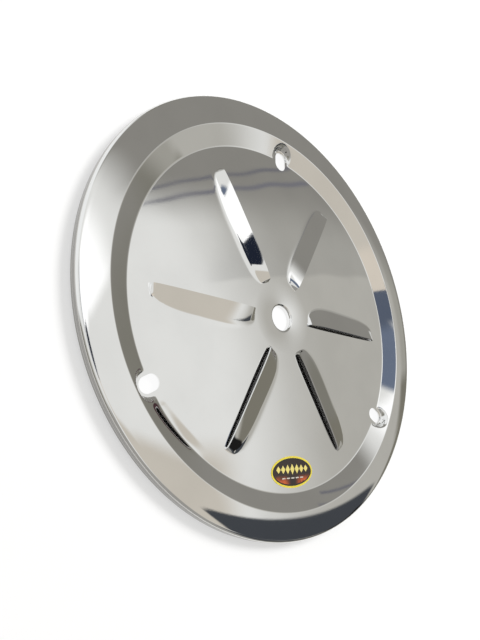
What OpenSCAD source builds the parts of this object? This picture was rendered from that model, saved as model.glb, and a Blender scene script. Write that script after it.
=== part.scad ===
// Formed sheet cover for a wheel, lying on its back with its front face up.
// +Z leaves the front face, and the origin is under the centre hole at the collar's rear edge.

/* [Rim flange] */
// Outer diameter of the cover
cover_d = 394; // [380:1:410]
// Thickness of the sheet
sheet_t = 1.2; // [1:0.1:1.6]
// Width of the flange, from its bend line to the outer edge
flange_w = 24.4; // [22:0.2:27]
// Radius of the long arc that crowns the flange
crown_r = 400; // [200:20:800]
// Radius of the rounded outer shoulder
shoulder_r = 3; // [2.5:0.5:4]
// Depth of the turned-back lip below the flange's inner edge
lip_depth = 8.6; // [7:0.2:9.6]

/* [Recess] */
// Width of the sloping wall, from its top bend line to its foot
wall_run = 15.8; // [14:0.1:18]
// Depth of the inner disc below the flange's inner edge
recess_depth = 8.1; // [7:0.1:10]
// Front radius of the bend at the top of the wall
top_bend_r = 2.4; // [2:0.2:4]
// Front radius of the bend at the foot of the wall
foot_bend_r = 3; // [2:0.2:4]

/* [Centre hole] */
// Radius of the centre hole
hole_r = 11.2; // [9:0.2:13]
// Front radius of the rolled edge of the hole
roll_r = 2.5; // [2:0.1:3.5]
// Depth of the turned-back collar below the front of the inner disc
collar_depth = 6; // [5:0.2:8]

/* [Louvers] */
// Number of louvers
louver_count = 6; // [4:1:7]
// Radius where each slit starts
slit_inner_r = 34.3; // [32:0.5:45]
// Flat left between the outer end of each slit and the foot of the wall
slit_end_gap = 17.9; // [14:0.1:40]
// Distance by which the line of each slit passes clockwise of the cover's axis
slit_shift = 1.2; // [0:0.1:2]
// Height of the raised lip at its inner end, above the front of the inner disc
lip_inner_h = 5.5; // [4.5:0.1:7]
// Height of the raised lip at its outer end
lip_outer_h = 3.9; // [3:0.1:4.5]
// Width of the raised hood at its highest, from the lip to its foot
hood_width = 21; // [18:0.5:23]
// Largest width of the hood's bowed outline on the disc
outline_w = 20; // [17:0.5:21]
// Width of that outline at the ends of the slit
outline_end_w = 5; // [3:0.5:7]
// Slope of the flank that rises from the outline
flank_slope = 30; // [25:1:40]
// How far the hood bows out over a straight line from its lip to its foot
hood_bow = 0.4; // [0.3:0.05:1]
// How long the lip keeps its height before it falls at the ends
end_fullness = 4; // [2:0.5:5]

/* [Fastener slots] */
// Number of fastener slots
slot_count = 3; // [2:1:5]
// Azimuth of the first slot, counted from the first slit
slot_azimuth = 88; // [84:0.5:92]
// Width of each slot
slot_w = 12.7; // [10:0.1:14]
// Length of each slot, along the radius
slot_length = 17.7; // [16:0.1:19]
// Radius of the round pocket that is let into the wall behind each slot
pocket_r = 9.6; // [9:0.1:11]
// Height of the pocket's floor above the front of the inner disc
pocket_rise = 0.05; // [0.03:0.01:0.3]

/* [Label] */
// Azimuth of the label, counted from the first slit
label_azimuth = -88.4; // [-92:0.2:-84]
// Distance of the label's centre inside the foot of the wall
label_inset = 17.9; // [17:0.1:30]
// Width of the label, across the radius
label_w = 51.6; // [40:0.2:56]
// Height of the label, along the radius
label_h = 27.4; // [20:0.2:30]
// Thickness of the label
label_t = 0.3; // [0.2:0.05:0.5]

/* [Hidden] */
disc_z = collar_depth;
flange_z = disc_z + recess_depth;
cover_r = cover_d / 2;
wall_top_r = cover_r - flange_w;
wall_foot_r = wall_top_r - wall_run;
wall_slope = atan2(recess_depth, wall_run);
top_tangent = top_bend_r * tan(wall_slope / 2);
foot_tangent = foot_bend_r * tan(wall_slope / 2);
// The flange arc starts level at the bend and meets the shoulder without a kink
crown_start_r = wall_top_r + top_tangent;
crown_end = acos((cover_r - shoulder_r - crown_start_r) / (crown_r - shoulder_r));
shoulder_z = flange_z - crown_r + (crown_r - shoulder_r) * sin(crown_end);
lip_rear_z = flange_z - lip_depth;
slit_outer_r = wall_foot_r - slit_end_gap;
slit_middle_r = (slit_inner_r + slit_outer_r) / 2;
slit_half = (slit_outer_r - slit_inner_r) / 2;
// A hood's section is an arc; its turning axis lies clockwise of the slit and deep under the disc
hood_chord = norm([hood_width, lip_inner_h]);
hood_r = pow(hood_chord, 2) / (8 * hood_bow) + hood_bow / 2;
axis_back = (hood_r - hood_bow) * lip_inner_h / hood_chord - hood_width / 2;
axis_down = (hood_r - hood_bow) * hood_width / hood_chord - lip_inner_h / 2;
// The outline of a hood is an arc about a point clockwise of the slit
outline_r = (pow(slit_half, 2) + pow(outline_w - outline_end_w, 2)) / (2 * (outline_w - outline_end_w));
// The lip's ends dip into the sheet, so that a hood crosses the face of the disc at an angle
end_dip = sheet_t * 0.3;
louver_steps = 12;
// Slots are centred on the foot of the wall
slot_centre_r = wall_foot_r;
slot_run = (slot_length - slot_w) / 2;
label_centre_r = wall_foot_r - label_inset;
// Room that a cutting or joining solid leaves past the sheet
room = 4;

// Points of an arc about [r, z], from one angle to another
function arc(r, z, rad, from, to, steps) =
    [for (i = [0:steps]) let (a = from + (to - from) * i / steps)
        [r + rad * cos(a), z + rad * sin(a)]];

// Share of its full height that a lip has at u = -1 to 1 along the slit
function lip_share(u) =
    pow(max(0, 1 - pow(abs(u), end_fullness)), 1 / end_fullness);

// Height of a lip above the disc at u = -1 to 1 along the slit
function lip_height(u) =
    let (full = lip_inner_h + (lip_outer_h - lip_inner_h) * (1 + u) / 2)
        (full + end_dip) * lip_share(u) - end_dip;

// Lip along the slit, as [radius from the turning axis, distance along]
// Even steps of angle put more points on the steep ends
function lip_curve(under) =
    [for (i = [0:louver_steps]) let (u = -cos(180 * i / louver_steps))
        [norm([axis_down + lip_height(u), axis_back]) - under, slit_middle_r + slit_half * u]];

// One face of the sheet, outer lip first; back is 0 for the front and the thickness for the rear
function sheet_face(back) = concat(
    [[cover_r - back, lip_rear_z]],
    arc(cover_r - shoulder_r, shoulder_z, shoulder_r - back, 0, crown_end, 5),
    arc(crown_start_r, flange_z - crown_r, crown_r - back, crown_end, 90, 4),
    arc(crown_start_r, flange_z - top_bend_r, top_bend_r - back, 90, 90 + wall_slope, 3),
    arc(wall_foot_r - foot_tangent, disc_z + foot_bend_r, foot_bend_r + back,
        270 + wall_slope, 270, 3),
    arc(hole_r + roll_r, disc_z - roll_r, roll_r - back, 90, 180, 5),
    [[hole_r + back, 0]]
);

function backwards(list) = [for (i = [len(list) - 1:-1:0]) list[i]];

// Sheet turned about the centre line, before any slit or slot is cut
module dished_sheet() {
    rotate_extrude($fn = 180)
        polygon(concat(sheet_face(0), backwards(sheet_face(sheet_t))));
}

// Body turned about an axis beside the slit, whose skin falls from the lip to the disc
module hood_skin(under) {
    translate([0, -axis_back, disc_z - axis_down])
        rotate([0, 90, 0])
            rotate([0, 0, 90])
                rotate_extrude(angle = 90, $fn = 180)
                    polygon(concat(
                        [[axis_down / 2, slit_outer_r]],
                        [[axis_down / 2, slit_inner_r]],
                        lip_curve(under)
                    ));
}

// Flank that closes the hood down to its bowed outline, from one height above the disc to another
module hood_flank(under, low, high) {
    front_r = outline_r - under / sin(flank_slope);
    translate([slit_middle_r, outline_w - outline_r, disc_z + low])
        cylinder(r1 = front_r - low / tan(flank_slope), r2 = front_r - high / tan(flank_slope),
            h = high - low, $fn = 180);
}

// Hood beside a slit along +X, on its +Y side: the solid under its skin, or the space under it
module hood(under) {
    low = under > 0 ? -sheet_t - room : -sheet_t / 2;
    intersection() {
        hood_skin(under);
        hood_flank(under, low, lip_inner_h + room);
        translate([slit_inner_r - room, 0, disc_z + low - 1])
            cube([2 * slit_half + 2 * room, hood_width + 3 * room, lip_inner_h + 3 * room]);
    }
}

module each_louver() {
    for (i = [0:louver_count - 1])
        rotate([0, 0, i * 360 / louver_count])
            translate([0, -slit_shift, 0])
                children();
}

module each_slot() {
    for (i = [0:slot_count - 1])
        rotate([0, 0, slot_azimuth + i * 360 / slot_count])
            translate([slot_centre_r, 0, 0])
                children();
}

// Everything behind the front face between the inner disc's rear and the flange
module behind_wall() {
    intersection() {
        rotate_extrude($fn = 180)
            polygon(concat(
                [[wall_foot_r - pocket_r - room, disc_z - sheet_t]],
                [[wall_top_r + room, disc_z - sheet_t]],
                [[wall_top_r + room, flange_z - sheet_t / 2]],
                [[wall_top_r, flange_z - sheet_t / 2]],
                [[wall_foot_r, disc_z - sheet_t / 2]],
                [[wall_foot_r - pocket_r - room, disc_z - sheet_t / 2]]
            ));
        each_slot()
            translate([slot_run, 0, disc_z - sheet_t - room])
                cylinder(r = pocket_r + sheet_t, h = recess_depth + 2 * room, $fn = 96);
    }
}

// Round-ended slot, long way along the radius
module slot_outline() {
    translate([-slot_run, 0])
        circle(d = slot_w, $fn = 64);
    translate([slot_run, 0])
        circle(d = slot_w, $fn = 64);
    square([2 * slot_run, slot_w], center = true);
}

module mud_cover() {
    color([0.78, 0.79, 0.8])
        difference() {
            union() {
                dished_sheet();
                behind_wall();
                each_louver() hood(0);
            }
            each_louver() hood(sheet_t);
            each_slot()
                translate([slot_run, 0, disc_z + pocket_rise])
                    cylinder(r = pocket_r, h = recess_depth + room, $fn = 96);
            each_slot()
                translate([0, 0, disc_z - sheet_t - room])
                    linear_extrude(height = sheet_t + 2 * room)
                        slot_outline();
        }
}

// Thin oval label, stuck on the front of the inner disc near its lower edge
module label() {
    color([0.12, 0.1, 0.1])
        rotate([0, 0, label_azimuth])
            translate([label_centre_r, 0, disc_z])
                linear_extrude(height = label_t)
                    polygon([for (i = [0:71])
                        [label_h / 2 * cos(i * 5), label_w / 2 * sin(i * 5)]]);
}

mud_cover();
label();
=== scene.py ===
import math

import bpy
import numpy as np
from mathutils import Matrix, Vector


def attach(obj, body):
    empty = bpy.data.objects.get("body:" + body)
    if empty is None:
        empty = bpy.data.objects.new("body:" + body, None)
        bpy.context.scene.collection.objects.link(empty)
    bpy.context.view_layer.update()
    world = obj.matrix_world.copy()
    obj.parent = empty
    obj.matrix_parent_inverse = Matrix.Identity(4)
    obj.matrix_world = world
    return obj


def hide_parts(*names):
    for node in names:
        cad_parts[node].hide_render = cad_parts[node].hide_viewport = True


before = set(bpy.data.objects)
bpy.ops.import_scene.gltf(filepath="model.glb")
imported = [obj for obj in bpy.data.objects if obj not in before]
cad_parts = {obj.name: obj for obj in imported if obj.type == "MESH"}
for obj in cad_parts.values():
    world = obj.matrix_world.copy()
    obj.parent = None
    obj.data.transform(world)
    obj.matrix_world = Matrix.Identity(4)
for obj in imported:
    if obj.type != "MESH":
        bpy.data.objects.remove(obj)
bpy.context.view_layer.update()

# Sizes in mm and angles in degrees. The sheet, from its outer edge inwards
COVER_R, SHEET = 197.0, 1.2
FLANGE_W, WALL_RUN, RECESS = 24.4, 15.8, 8.1
CROWN_R, SHOULDER_R, LIP = 400.0, 3.0, 8.6
TOP_BEND, FOOT_BEND = 2.4, 3.0
HOLE_R, ROLL_R, DISC_Z = 11.2, 2.5, 6.0
# The disc sinks by HUB_DIP over the last HUB_REACH before the rolled edge of the hole
HUB_DIP, HUB_REACH = 0.8, 20.5
# Louvers: the slits, their raised lips, and the hoods that fall from the lips to their feet
LOUVER_STEP = 60
SLIT_IN, SLIT_GAP, SLIT_SHIFT = 34.3, 17.9, 1.2
LIP_IN, LIP_OUT, END_FULL, END_RUN = 5.5, 3.9, 4.0, 2.0
HOOD_BOW, FOOT_END, FOOT_TAPER, FOOT_SOFT = 0.12, 4.0, 0.1, 0.9
# The hoods differ a little in width, as pressed; the first lies along +X
FOOT_W = np.array([20.0, 19.0, 17.5, 19.3, 18.8, 20.0])
# Fastener slots, and the round pockets behind them, whose edges blend into the wall
SLOT_COUNT, SLOT_AZ, SLOT_W, SLOT_L = 3, 88.0, 12.7, 17.7
POCKET_R, POCKET_LEAD, POCKET_BLEND = 9.6, 0.3, 2.2
# Crease on the wall: its depth, half width, first bearing, radius there and slant in mm per degree
CREASE, CREASE_HALF, CREASE_AZ, CREASE_R, CREASE_SLANT = 0.45, 3.2, 211, 163.5, 6.5 / 22
# Heights of the waves and of the finer ripple left by forming
WAVE, RIPPLE = 0.02, 0.01
# Label
LABEL_AZ, LABEL_INSET, LABEL_W, LABEL_H = -88.4, 17.9, 51.6, 27.4

TOP_R = COVER_R - FLANGE_W
FOOT_R = TOP_R - WALL_RUN
FLANGE_Z = DISC_Z + RECESS
SLOPE = math.atan2(RECESS, WALL_RUN)
SLIT_OUT = FOOT_R - SLIT_GAP
SLIT_MID, SLIT_HALF = (SLIT_IN + SLIT_OUT) / 2, (SLIT_OUT - SLIT_IN) / 2
SLOT_R, SLOT_RUN = FOOT_R, (SLOT_L - SLOT_W) / 2
SLOT_ANGLES = [math.radians(SLOT_AZ + 360 / SLOT_COUNT * n) for n in range(SLOT_COUNT)]
LABEL_R = FOOT_R - LABEL_INSET


def smooth(t):
    """0 below 0, 1 above 1, smooth between."""
    t = np.clip(t, 0, 1)
    return t * t * (3 - 2 * t)


def blend_top(a, b, reach):
    """The higher of a and b, with the corner between them rounded where they differ by less than reach."""
    d = np.clip((a - b) / reach, -1, 1)
    return np.maximum(a, b) + reach * (1 - np.abs(d)) ** 2 / 4


def lip_height(s):
    """Height of a lip above the disc at s along its slit."""
    u = np.clip((s - SLIT_MID) / SLIT_HALF, -1, 1)
    full = LIP_IN + (LIP_OUT - LIP_IN) * (1 + u) / 2
    share = np.clip(1 - np.abs(u) ** END_FULL, 0, 1) ** (1 / END_FULL)
    return full * share * smooth((1 - np.abs(u)) * SLIT_HALF / END_RUN)


def hood_rise(s, w, foot_w):
    """Rise of a hood over the disc at s along its slit and w beside it: a bowed slope from lip to foot."""
    u = np.clip((s - SLIT_MID) / SLIT_HALF, -1, 1)
    reach = (FOOT_END + (foot_w - FOOT_END) * np.sqrt(1 - u**4)) * (1 - FOOT_TAPER * (1 + u) / 2)
    h = lip_height(s)
    t = w / reach
    rise = h * (1 - t + 4 * HOOD_BOW / LIP_IN * t * (1 - t))
    return np.where(h > 1e-6, blend_top(rise, 0.0, FOOT_SOFT * np.clip(h / 3, 0.001, 1)), 0.0)


def wall_z(r):
    """Front height of the sheet from the disc to the flange, with round bends."""
    line = DISC_Z + (r - FOOT_R) * math.tan(SLOPE)
    low = blend_top(line, DISC_Z, FOOT_BEND * math.tan(SLOPE) * math.tan(SLOPE / 2))
    low = low - HUB_DIP * np.clip((HOLE_R + ROLL_R + HUB_REACH - r) / HUB_REACH, 0, 1) ** 2
    crown = FLANGE_Z - np.maximum(r - TOP_R - TOP_BEND * math.tan(SLOPE / 2), 0) ** 2 / (2 * CROWN_R)
    return -blend_top(-low, -crown, TOP_BEND * math.tan(SLOPE) * math.tan(SLOPE / 2))


def slit_bend(r, d):
    """Shift in y that lays the grid's line at d = 0 along a slit beside the axis; d in radians off it."""
    along = smooth((r - 18) / 12) * smooth((150 - r) / 9)
    return -SLIT_SHIFT * along * smooth(1 - np.abs(d) / math.radians(28))


def place(r, az):
    """x, y of a grid point at radius r and azimuth az in degrees."""
    k = LOUVER_STEP * np.round(az / LOUVER_STEP)
    d = np.radians(az - k)
    x, y = r * np.cos(d), r * np.sin(d) + slit_bend(r, d)
    c, s = np.cos(np.radians(k)), np.sin(np.radians(k))
    return x * c - y * s, x * s + y * c


def crease(r, x, y):
    """Depth of the shallow crease on the wall, just past the left slot."""
    bearing = np.degrees(np.arctan2(y, x)) % 360
    middle = CREASE_R - CREASE_SLANT * (bearing - CREASE_AZ)
    ends = smooth((bearing - CREASE_AZ - 1) / 4) * smooth((CREASE_AZ + 23 - bearing) / 8)
    across = smooth((middle + CREASE_HALF - r) / (2 * CREASE_HALF)) * smooth((r - 148) / 8)
    return CREASE * across * ends


def waves(r, x, y):
    """Height of the faint waves left by forming, which fade out round the hole."""
    wave = WAVE * (np.sin(x / 17.0 + 1.1) * np.sin(y / 21.0 + 0.4) - 1)
    ripple = RIPPLE * np.sin((x + y) / 11.0 + 2.0) * smooth((168 - r) / 20)
    return (wave + ripple) * smooth((r - 16) / 12)


def field(r, az, x, y, side):
    """Front height at a grid point; side is +1 just counterclockwise of a slit and -1 just clockwise."""
    z = wall_z(r)
    near = np.round(az / LOUVER_STEP)
    on_slit = np.abs(az / LOUVER_STEP - near) < 1e-7
    first = np.where(on_slit, near, np.floor(az / LOUVER_STEP))
    turn = np.radians(LOUVER_STEP * first)
    s = x * np.cos(turn) + y * np.sin(turn)
    w = y * np.cos(turn) - x * np.sin(turn) + SLIT_SHIFT
    foot_w = FOOT_W[first.astype(int) % len(FOOT_W)]
    z = z + np.where(on_slit & (side < 0), 0, hood_rise(s, np.maximum(w, 0), foot_w))
    for a in SLOT_ANGLES:
        cx, cy = (SLOT_R + SLOT_RUN) * math.cos(a), (SLOT_R + SLOT_RUN) * math.sin(a)
        dist = np.hypot(x - cx, y - cy) - POCKET_R
        z = DISC_Z + (z - DISC_Z) * smooth((dist + POCKET_LEAD) / POCKET_BLEND)
    return z - crease(r, x, y) + waves(r, x, y)


def arc(r, z, rad, a0, a1, n):
    """Points of an arc about (r, z) from angle a0 to a1, in n steps."""
    return [(r + rad * math.cos(t), z + rad * math.sin(t)) for t in np.linspace(a0, a1, n + 1)]


def spread(table):
    """Even values in each (from, to, step) of a table."""
    out = []
    for a, b, step in table:
        out += list(np.linspace(a, b, max(1, round((b - a) / step)), endpoint=False))
    return out


def columns():
    """Azimuths of the grid, in degrees, close together near slits and slots."""
    out = []
    for k in range(len(FOOT_W)):
        near_slot = 0.35 if k % 2 else 1.1
        table = (
            (0, 2, 0.4),
            (2, 10, 0.6),
            (10, 21, 1.0),
            (21, 35, near_slot),
            (35, 45, 1.6),
            (45, 54, 1.2),
            (54, LOUVER_STEP, 0.6),
        )
        out += [LOUVER_STEP * k + v for v in spread(table)]
    return np.array(out)


def rings():
    """(radius, height) of each ring from the collar to the lip; a height of None comes from field()."""
    out = [(HOLE_R, 0.0), (HOLE_R, 0.9), (HOLE_R, 1.8)]
    out += arc(HOLE_R + ROLL_R, DISC_Z - HUB_DIP - ROLL_R, ROLL_R, math.pi, math.pi / 2, 8)
    table = (
        (HOLE_R + ROLL_R, 31, 2.4),
        (31, SLIT_IN, 0.6),
        (SLIT_IN, 37, 0.3),
        (37, 42, 0.8),
        (42, 131, 2.6),
        (131, 136, 0.8),
        (136, SLIT_OUT, 0.3),
        (SLIT_OUT, 141.5, 0.7),
        (141.5, 146, 1.5),
        (146, FOOT_R - 1.3, 0.6),
        (FOOT_R - 1.3, FOOT_R + 1.3, 0.2),
        (FOOT_R + 1.3, TOP_R - 1.2, 0.8),
        (TOP_R - 1.2, TOP_R + 1.2, 0.2),
        (TOP_R + 1.2, 175, 0.6),
        (175, COVER_R - 4, 2.6),
    )
    out += [(r, None) for r in spread(table)[1:]]
    end = math.acos((COVER_R - SHOULDER_R - TOP_R - TOP_BEND * math.tan(SLOPE / 2)) / (CROWN_R - SHOULDER_R))
    zs = FLANGE_Z - CROWN_R + (CROWN_R - SHOULDER_R) * math.sin(end)
    out += arc(COVER_R - SHOULDER_R, zs, SHOULDER_R, end, 0, 9)
    out += [(COVER_R, z) for z in np.linspace(zs, FLANGE_Z - LIP, 5)[1:]]
    return out


def outside_slots(x, y):
    """Signed distance outside the nearest slot's outline."""
    best = np.full(np.shape(x), 1e9)
    for a in SLOT_ANGLES:
        u = x * math.cos(a) + y * math.sin(a) - SLOT_R
        v = -x * math.sin(a) + y * math.cos(a)
        u = np.sign(u) * np.maximum(np.abs(u) - SLOT_RUN, 0)
        best = np.minimum(best, np.hypot(u, v) - SLOT_W / 2)
    return best


def skin():
    """Front skin of the sheet as (vertices, faces), open at slits, slots, collar and lip."""
    cols = columns()
    ring = rings()
    nc, nr = len(cols), len(ring)
    at_slit = [i for i, a in enumerate(cols) if abs(a / LOUVER_STEP - round(a / LOUVER_STEP)) < 1e-9]
    verts, vid = [], {}
    for j, (r, z) in enumerate(ring):
        x, y = place(r, cols)
        zz = field(r, cols, x, y, np.ones(nc)) if z is None else np.full(nc, z)
        for i in range(nc):
            vid[j, i, 1] = vid[j, i, -1] = len(verts)
            verts.append((x[i], y[i], zz[i]))
        if z is None and SLIT_IN + 1e-6 < r < SLIT_OUT - 1e-6:
            low = field(r, cols[at_slit], x[at_slit], y[at_slit], -np.ones(len(at_slit)))
            for n, i in enumerate(at_slit):
                vid[j, i, -1] = len(verts)
                verts.append((x[i], y[i], low[n]))
    sd = outside_slots(np.array([v[0] for v in verts]), np.array([v[1] for v in verts]))
    cuts = {}

    def cut(a, b):
        """Vertex where a slot's outline crosses the edge from a to b."""
        key = (min(a, b), max(a, b))
        if key not in cuts:
            t = sd[key[0]] / (sd[key[0]] - sd[key[1]])
            pa, pb = verts[key[0]], verts[key[1]]
            cuts[key] = len(verts)
            verts.append(tuple(pa[n] + (pb[n] - pa[n]) * t for n in range(3)))
        return cuts[key]

    faces = []
    for j in range(nr - 1):
        for i in range(nc):
            i2 = (i + 1) % nc
            quad = [vid[j, i, 1], vid[j + 1, i, 1], vid[j + 1, i2, -1], vid[j, i2, -1]]
            s = [sd[q] for q in quad]
            if min(s) > 0:
                faces.append(quad)
            elif max(s) > 0:
                poly = []
                for n in range(4):
                    a, b = quad[n], quad[(n + 1) % 4]
                    if sd[a] > 0:
                        poly.append(a)
                    if (sd[a] > 0) != (sd[b] > 0):
                        poly.append(cut(a, b))
                if len(poly) > 2:
                    faces.append(poly)
    used = sorted({v for f in faces for v in f})
    new = {v: n for n, v in enumerate(used)}
    return np.array([verts[v] for v in used]), [[new[v] for v in f] for f in faces]


def vertex_normals(v, faces):
    """Unit normals at the vertices, each face counted by its area."""
    n = np.zeros_like(v)
    for f in faces:
        p = v[f]
        c = np.cross(p[1] - p[0], p[2] - p[0])
        if len(f) > 3:
            c = c + np.cross(p[2] - p[0], p[3] - p[0])
        n[f] += c
    return n / np.linalg.norm(n, axis=1)[:, None]


def make_mesh(name, verts, faces, material, sharp=()):
    mesh = bpy.data.meshes.new(name)
    mesh.from_pydata([tuple(p) for p in verts], [], faces)
    mesh.update()
    mesh.polygons.foreach_set("use_smooth", [True] * len(mesh.polygons))
    if sharp:
        flags = [tuple(sorted(e.vertices)) in sharp for e in mesh.edges]
        mesh.attributes.new("sharp_edge", "BOOLEAN", "EDGE").data.foreach_set("value", flags)
    obj = bpy.data.objects.new(name, mesh)
    bpy.context.collection.objects.link(obj)
    mesh.materials.append(material)
    return obj


def lin(r, g, b):
    """Display colour 0 to 255 as a linear colour."""
    parts = [c / 255 for c in (r, g, b)]
    return tuple(c / 12.92 if c <= 0.04045 else ((c + 0.055) / 1.055) ** 2.4 for c in parts) + (1.0,)


def darker(colour, share):
    """The colour times share, opaque."""
    return tuple(c * share for c in colour[:3]) + (1.0,)


class Nodes:
    """Short calls that add nodes to a tree."""

    def __init__(self, tree):
        self.tree = tree

    def add(self, kind, **values):
        node = self.tree.nodes.new(kind)
        for k, v in values.items():
            setattr(node, k, v)
        return node

    def put(self, socket, value):
        if isinstance(value, bpy.types.NodeSocket):
            self.tree.links.new(value, socket)
        else:
            socket.default_value = value

    def math(self, op, a, b=0.0, clamp=False):
        node = self.add("ShaderNodeMath", operation=op, use_clamp=clamp)
        self.put(node.inputs[0], a)
        self.put(node.inputs[1], b)
        return node.outputs[0]

    def mix(self, factor, a, b):
        node = self.add("ShaderNodeMix", data_type="RGBA")
        self.put(node.inputs[0], factor)
        self.put(node.inputs[6], a)
        self.put(node.inputs[7], b)
        return node.outputs[2]

    def ramp(self, value, low, high):
        """0 below low, 1 above high, smooth between."""
        node = self.add("ShaderNodeMapRange", interpolation_type="SMOOTHSTEP")
        self.put(node.inputs[0], value)
        self.put(node.inputs[1], low)
        self.put(node.inputs[2], high)
        return node.outputs[0]

    def noise(self, coord, scale, detail):
        node = self.add("ShaderNodeTexNoise")
        self.put(node.inputs["Vector"], coord)
        node.inputs["Scale"].default_value = scale
        node.inputs["Detail"].default_value = detail
        return node.outputs[0]

    def parts(self, vector):
        """x, y and z of a vector."""
        node = self.add("ShaderNodeSeparateXYZ")
        self.put(node.inputs[0], vector)
        return tuple(node.outputs)

    def length(self, a, b):
        """Length of the vector (a, b)."""
        return self.math("SQRT", self.math("ADD", self.math("MULTIPLY", a, a), self.math("MULTIPLY", b, b)))

    def seen(self):
        """1 for a ray from the camera, a reflection or a transmission, else 0."""
        path = self.add("ShaderNodeLightPath").outputs
        total = self.math("ADD", path["Is Camera Ray"], path["Is Glossy Ray"], True)
        return self.math("ADD", total, path["Is Transmission Ray"], True)


class Material(Nodes):
    """Node tree of a new material, with its object coordinates."""

    def __init__(self, name):
        self.mat = bpy.data.materials.new(name)
        self.mat.use_nodes = True
        super().__init__(self.mat.node_tree)
        self.tree.nodes.clear()
        self.out = self.add("ShaderNodeOutputMaterial")
        self.coord = self.add("ShaderNodeTexCoord").outputs["Object"]


def sheet_metal(name, bright, rough, painted_shade=None, painted_shade_from=None):
    """Sheet metal, smudged a little and finely marked; past the radius in mm given last it turns rougher and
    its colour is painted darker, with darker lines along its height: painted shade.
    """
    n = Material(name)
    bsdf = n.add("ShaderNodeBsdfPrincipled")
    n.put(n.out.inputs[0], bsdf.outputs[0])
    bsdf.inputs["Metallic"].default_value = 1.0
    smudge = n.noise(n.coord, 22.0, 4.0)
    tint = n.mix(n.ramp(smudge, 0.35, 0.7), bright, darker(bright, 0.96))
    span = n.add("ShaderNodeMapRange")
    for socket, value in zip(span.inputs, (smudge, 0.3, 0.75) + rough):
        n.put(socket, value)
    roughness = span.outputs[0]
    # Painted shade: past that radius, on the lip's outer side, the colour is darkened, with darker lines along
    # its height; the roughness rises there too
    if painted_shade:
        x, y, z = n.parts(n.coord)
        side = n.ramp(n.length(x, y), (painted_shade_from - 0.15) / 1000, (painted_shade_from + 0.1) / 1000)
        rings = n.add("ShaderNodeTexNoise", noise_dimensions="1D")
        n.put(rings.inputs["W"], z)
        rings.inputs["Scale"].default_value = 700.0
        tint = n.mix(side, tint, n.mix(n.ramp(rings.outputs[0], 0.35, 0.65), painted_shade, darker(painted_shade, 0.6)))
        roughness = n.math("ADD", roughness, n.math("MULTIPLY", side, 0.16))
    n.put(bsdf.inputs["Base Color"], tint)
    n.put(bsdf.inputs["Roughness"], roughness)
    bump = n.add("ShaderNodeBump")
    bump.inputs["Strength"].default_value = 0.012
    bump.inputs["Distance"].default_value = 0.0002
    n.put(bump.inputs["Height"], n.noise(n.coord, 900.0, 2.0))
    n.put(bsdf.inputs["Normal"], bump.outputs[0])
    return n.mat


def print_ink(name, colour, glow=None):
    """Glossy printed ink, mottled a little; glow is a second colour that rises from the label's lower edge."""
    n = Material(name)
    bsdf = n.add("ShaderNodeBsdfPrincipled")
    n.put(n.out.inputs[0], bsdf.outputs[0])
    mottle = n.noise(n.coord, 260.0, 3.0)
    shade = n.mix(n.ramp(mottle, 0.35, 0.7), colour, darker(colour, 0.86))
    if glow:
        out_along, across, _ = n.parts(n.coord)
        low = n.ramp(out_along, 0.0015, 0.0105)
        side = n.ramp(n.math("ABSOLUTE", across), 0.002, 0.013)
        flame = n.math("ADD", n.ramp(mottle, 0.3, 0.62), 0.25, True)
        shade = n.mix(n.math("MULTIPLY", n.math("MULTIPLY", low, side), flame), shade, glow)
    n.put(bsdf.inputs["Base Color"], shade)
    bsdf.inputs["Roughness"].default_value = 0.22
    bsdf.inputs["Coat Weight"].default_value = 0.4
    bsdf.inputs["Coat Roughness"].default_value = 0.08
    return n.mat


# The cover: a polished front skin, its lip's outer side painted darker as painted shade; a rough back one, its
# colour painted dark as painted shade so that the openings under the lips read dark; and the sheet's edges,
# which go with the front
metal = sheet_metal(
    "polished_sheet", (0.86, 0.862, 0.855, 1), (0.02, 0.045), (0.5, 0.49, 0.47, 1), COVER_R - 0.45
)
# The back: a rough mill finish whose colour is painted dark, painted shade so that the openings under the lips
# read dark
mill_and_painted_shade = sheet_metal("mill_sheet_painted_dark", (0.2, 0.195, 0.19, 1), (0.34, 0.46))
front, faces = skin()
normal = vertex_normals(front, faces)
back = front - SHEET * normal
count = len(front)
uses = {}
for f in faces:
    for a, b in zip(f, f[1:] + f[:1]):
        uses[a, b] = uses.get((a, b), 0) + 1
rim_faces, sharp = [], set()
rim_back, extra = {}, []
for a, b in [(a, b) for a, b in uses if (b, a) not in uses]:
    for v in (a, b):
        if v not in rim_back:
            rim_back[v] = count + len(extra)
            extra.append(back[v])
    rim_faces.append([b, a, rim_back[a], rim_back[b]])
    sharp.add((min(a, b), max(a, b)))
all_front = np.vstack([front, np.array(extra)]) / 1000
cover_front = make_mesh("cover_front", all_front, faces + rim_faces, metal, sharp)
cover_back = make_mesh("cover_back", back / 1000, [f[::-1] for f in faces], mill_and_painted_shade)
for piece in (cover_front, cover_back):
    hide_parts("mud_cover")
    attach(piece, "root")

# The label: plates of ink laid on each other
yellow = print_ink("ink_yellow", lin(226, 208, 66))
black = print_ink("ink_black", lin(24, 20, 18))
field_ink = print_ink("ink_field", lin(36, 20, 15), lin(214, 96, 34))
gold = print_ink("ink_gold", lin(226, 210, 120))
pale = print_ink("ink_pale", lin(205, 200, 190))


def on_label(obj):
    """Puts a flat shape, drawn in mm with +X out along the radius, onto the disc."""
    turn = Matrix.Rotation(math.radians(LABEL_AZ), 4, "Z")
    obj.matrix_world = turn @ Matrix.Translation((LABEL_R / 1000, 0, DISC_Z / 1000))
    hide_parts("label")
    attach(obj, "root")
    return obj


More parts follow.
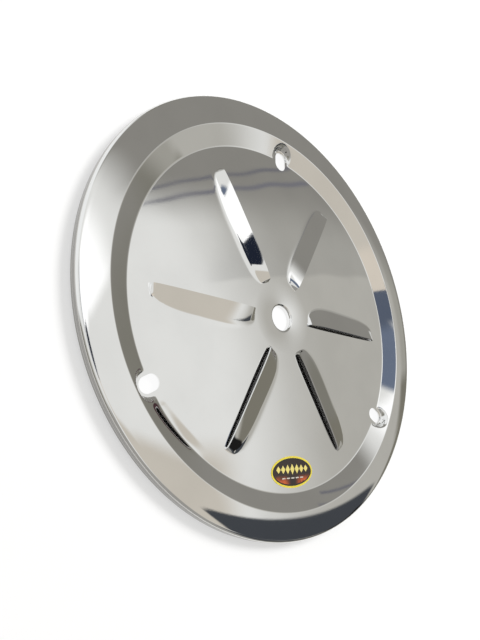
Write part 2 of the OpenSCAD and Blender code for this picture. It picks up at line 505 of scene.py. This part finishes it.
def plate(name, outline, low, high, material):
    """A flat piece from low to high, in mm, with the given outline."""
    n = len(outline)
    verts = [(x / 1000, y / 1000, high / 1000) for x, y in outline]
    verts += [(x / 1000, y / 1000, low / 1000) for x, y in outline]
    sides = [[i + n, (i + 1) % n + n, (i + 1) % n, i] for i in range(n)]
    obj = make_mesh(name, verts, [list(range(n)), list(range(2 * n - 1, n - 1, -1))] + sides, material)
    obj.data.polygons.foreach_set("use_smooth", [False] * len(obj.data.polygons))
    return on_label(obj)


def oval(shrink):
    """The label's outline, drawn in by shrink."""
    high, wide = LABEL_H / 2 - shrink, LABEL_W / 2 - shrink
    angles = np.linspace(0, 2 * math.pi, 96, endpoint=False)
    return [(high * math.cos(t), wide * math.sin(t)) for t in angles]


plate("label_border", oval(0), 0.0, 0.20, yellow)
plate("label_ring", oval(1.7), 0.20, 0.23, black)
plate("label_field", oval(3.0), 0.23, 0.25, field_ink)
PRINT_LOW, PRINT_HIGH = 0.25, 0.27
# a row of gold lozenges across the middle, the tallest in the centre
LOZENGE_ROW, LOZENGE_PITCH, LOZENGE_WIDE, LOZENGE_TALL = -2.4, 5.7, 2.6, 4.6
for k in range(-3, 4):
    tall = LOZENGE_TALL - 0.5 * abs(k)
    cx, cy = LOZENGE_ROW, k * LOZENGE_PITCH
    outline = [(cx - tall, cy), (cx, cy - LOZENGE_WIDE), (cx + tall, cy), (cx, cy + LOZENGE_WIDE)]
    plate("label_lozenge_%d" % (k + 3), outline, PRINT_LOW, PRINT_HIGH, gold)
# short pale dashes under them
DASH_ROW, DASH_PITCH, DASH_TALL, DASH_WIDE = 5.2, 5.6, 0.5, 1.9
for k in range(-2, 3):
    cx, cy = DASH_ROW, k * DASH_PITCH
    outline = [
        (cx - DASH_TALL, cy - DASH_WIDE),
        (cx + DASH_TALL, cy - DASH_WIDE),
        (cx + DASH_TALL, cy + DASH_WIDE),
        (cx - DASH_TALL, cy + DASH_WIDE),
    ]
    plate("label_dash_%d" % (k + 2), outline, PRINT_LOW, PRINT_HIGH, pale)

# The floor: part of its white is its own, in the camera's and in reflected rays, so that its shadow stays
# light.
# That part isn't even, it is painted light: there is none under the louvers, and more under the slots and the
# hole, where it paints light into the cover's shadow
FLOOR_GLOW, PAINTED_LIGHT_UNDER_COVER = 0.5, 0.45
R_DOME = 40.0


def floor_paint():
    n = Material("floor_pale_painted_light")
    diffuse = n.add("ShaderNodeBsdfDiffuse")
    diffuse.inputs[0].default_value = (0.9, 0.9, 0.9, 1)
    glow = n.add("ShaderNodeEmission")
    x, y, _ = n.parts(n.coord)
    radius = n.length(x, y)
    # Painted light by radius: none under the louvers, and more under the slots and the hole, lighting the
    # cover's shadow there
    bright = n.math("ADD", n.ramp(radius, 0.138, 0.146), n.ramp(radius, 0.0125, 0.0115), True)
    painted_light_under_cover = n.math("MULTIPLY", n.ramp(radius, 0.192, 0.187), PAINTED_LIGHT_UNDER_COVER)
    glow_and_painted_light = n.math("ADD", FLOOR_GLOW, painted_light_under_cover)
    mixed = n.add("ShaderNodeMixShader")
    n.put(mixed.inputs[0], n.math("MULTIPLY", n.math("MULTIPLY", n.seen(), bright), glow_and_painted_light))
    n.put(mixed.inputs[1], diffuse.outputs[0])
    n.put(mixed.inputs[2], glow.outputs[0])
    n.put(n.out.inputs[0], mixed.outputs[0])
    return n.mat


angles = np.linspace(0, 2 * math.pi, 64, endpoint=False)
ring = [(R_DOME * math.cos(t), R_DOME * math.sin(t), 0.0) for t in angles]
floor = make_mesh("floor", ring, [list(range(64))], floor_paint())

# The dome's soft panels: (azimuth, elevation, half width, half height, turn) of each in degrees, the softness
# of its sides and of its ends in degrees, its display colour and how much of it covers. Their places and
# colours were set by comparing with the photo's reflections, so they suit the photo's camera and no other
DOME_LEVEL, DOME_COLOUR = 1.15, (222, 222, 220)
PANELS = [
    (20, -10, 200, 54, 0, 1, 14, (174, 172, 166), 1),
    (20, -30, 200, 57.4, 0, 1, 2.6, (156, 154, 147), 1),
    (20, -38, 200, 60, 0, 1, 6, (122, 120, 112), 1),
    (-2, -35, 12, 62.8, 0, 3, 2, (119, 116, 106), 1),
    (36.7, 33, 10, 10.6, -26.6, 0.7, 5, (60, 62, 64), 0.18),
    (62, 30, 42, 22.4, 45, 7, 7, (134, 132, 127), 1),
    (44.2, 41.8, 10.5, 0.25, 56, 0.9, 0.5, (110, 110, 118), 1),
    (45.8, 41.0, 8.5, 0.18, 56, 0.8, 0.4, (102, 102, 110), 1),
    (20, 72, 200, 21.5, 0, 1, 8, (222, 222, 220), 1),
    (-32, 70.5, 35, 20, 0, 8, 5, (194, 188, 178), 1),
    (0, 85, 35, 5, 0, 3, 3, (208, 199, 187), 1),
    (55.5, 66, 12, 9.5, 0, 5, 6, (264, 264, 264), 1),
    (76, 78, 9, 12, 0, 2, 2, (102, 112, 131), 1),
    (62, 84.5, 28, 5.5, 0, 3, 3, (84, 92, 108), 1),
    (-16.1, 40.8, 7, 12.8, 20, 1.2, 1.5, (64, 67, 72), 1),
    (-46, 36, 20, 13, 0, 3, 3, (60, 63, 68), 1),
    (-19.5, 25, 8.5, 6.5, 0, 1.5, 1.5, (28, 27, 27), 1),
    (36, 75.2, 13, 3.1, -12, 1, 1, (30, 35, 48), 1),
    (25, 1.9, 16, 2.2, 0, 2, 0.5, (66, 46, 50), 1),
    (136, 30, 42, 30, 0, 12, 12, (235, 236, 236), 1),
    (-100, 30, 42, 32, 0, 12, 12, (150, 148, 144), 1),
]


def studio():
    n = Material("studio_dome")
    x, y, z = n.parts(n.coord)
    azimuth = n.math("DEGREES", n.math("ARCTAN2", y, x))
    elevation = n.math("DEGREES", n.math("ARCTAN2", z, n.length(x, y)))
    colour = lin(*DOME_COLOUR)
    for az, el, wide, high, turn, soft_u, soft_v, rgb, cover in PANELS:
        c, s = math.cos(math.radians(turn)), math.sin(math.radians(turn))
        da, de = n.math("SUBTRACT", azimuth, az), n.math("SUBTRACT", elevation, el)
        u = n.math("ABSOLUTE", n.math("ADD", n.math("MULTIPLY", da, c), n.math("MULTIPLY", de, s)))
        v = n.math("ABSOLUTE", n.math("SUBTRACT", n.math("MULTIPLY", de, c), n.math("MULTIPLY", da, s)))
        side = n.ramp(u, wide + soft_u / 2, wide - soft_u / 2)
        end = n.ramp(v, high + soft_v / 2, high - soft_v / 2)
        inside = n.math("MULTIPLY", n.math("MULTIPLY", side, end), cover)
        colour = n.mix(inside, colour, lin(*rgb))
    emit = n.add("ShaderNodeEmission")
    n.put(emit.inputs[0], colour)
    emit.inputs[1].default_value = DOME_LEVEL
    n.put(n.out.inputs[0], emit.outputs[0])
    return n.mat


bpy.ops.mesh.primitive_uv_sphere_add(segments=64, ring_count=32, radius=R_DOME)
dome = bpy.context.object
dome.name = "studio_dome"
dome.data.materials.append(studio())
dome.data.polygons.foreach_set("use_smooth", [True] * len(dome.data.polygons))


# One soft lamp, which the metal doesn't mirror
KEY_PLACE, KEY_SIZE, KEY_POWER = (1.3, 1.1, 2.6), 1.4, 75
key_data = bpy.data.lights.new("key", "AREA")
key_data.shape = "DISK"
key_data.size = KEY_SIZE
key_data.energy = KEY_POWER
key = bpy.data.objects.new("key", key_data)
bpy.context.collection.objects.link(key)
key.location = KEY_PLACE
key.rotation_euler = (-Vector(KEY_PLACE)).to_track_quat("-Z", "Y").to_euler()
key.visible_glossy = False

# The world lights at WORLD_LEVEL, and shows as white
WORLD_LEVEL = 0.3
world = bpy.data.worlds.new("world")
bpy.context.scene.world = world
world.use_nodes = True
sky = world.node_tree.nodes["Background"]
sky.inputs[0].default_value = (1, 1, 1, 1)
n = Nodes(world.node_tree)
n.put(sky.inputs[1], n.math("ADD", n.math("MULTIPLY", n.seen(), 1 - WORLD_LEVEL), WORLD_LEVEL))

# The camera, as fitted to the photo: its place and axes in the part's frame, and in the photo's pixels
# its focal length and the point that it looks straight at
CAMERA_PLACE = (-0.312605, -0.133427, 0.304944)
CAMERA_RIGHT = Vector((0.763375, -0.025947, 0.645434))
CAMERA_UP = Vector((-0.078798, 0.98799, 0.132915))
CAMERA_BEHIND = Vector((-0.641131, -0.152322, 0.752163))
PHOTO_W, PHOTO_H, FOCAL, AIM_X, AIM_Y = 480, 640, 489.4, 236.36, 391.62
SENSOR = 36.0
camera_data = bpy.data.cameras.new("camera")
camera = bpy.data.objects.new("camera", camera_data)
bpy.context.collection.objects.link(camera)
turn = Matrix((CAMERA_RIGHT, CAMERA_UP, CAMERA_BEHIND)).transposed().to_4x4()
camera.matrix_world = Matrix.Translation(CAMERA_PLACE) @ turn
camera_data.sensor_width = SENSOR
camera_data.lens = SENSOR * FOCAL / PHOTO_H
camera_data.shift_x = (PHOTO_W / 2 - AIM_X) / PHOTO_H
camera_data.shift_y = (AIM_Y - PHOTO_H / 2) / PHOTO_H
camera_data.clip_start = 0.01
camera_data.clip_end = 100
bpy.context.scene.camera = camera
bpy.context.scene.view_settings.view_transform = "Standard"
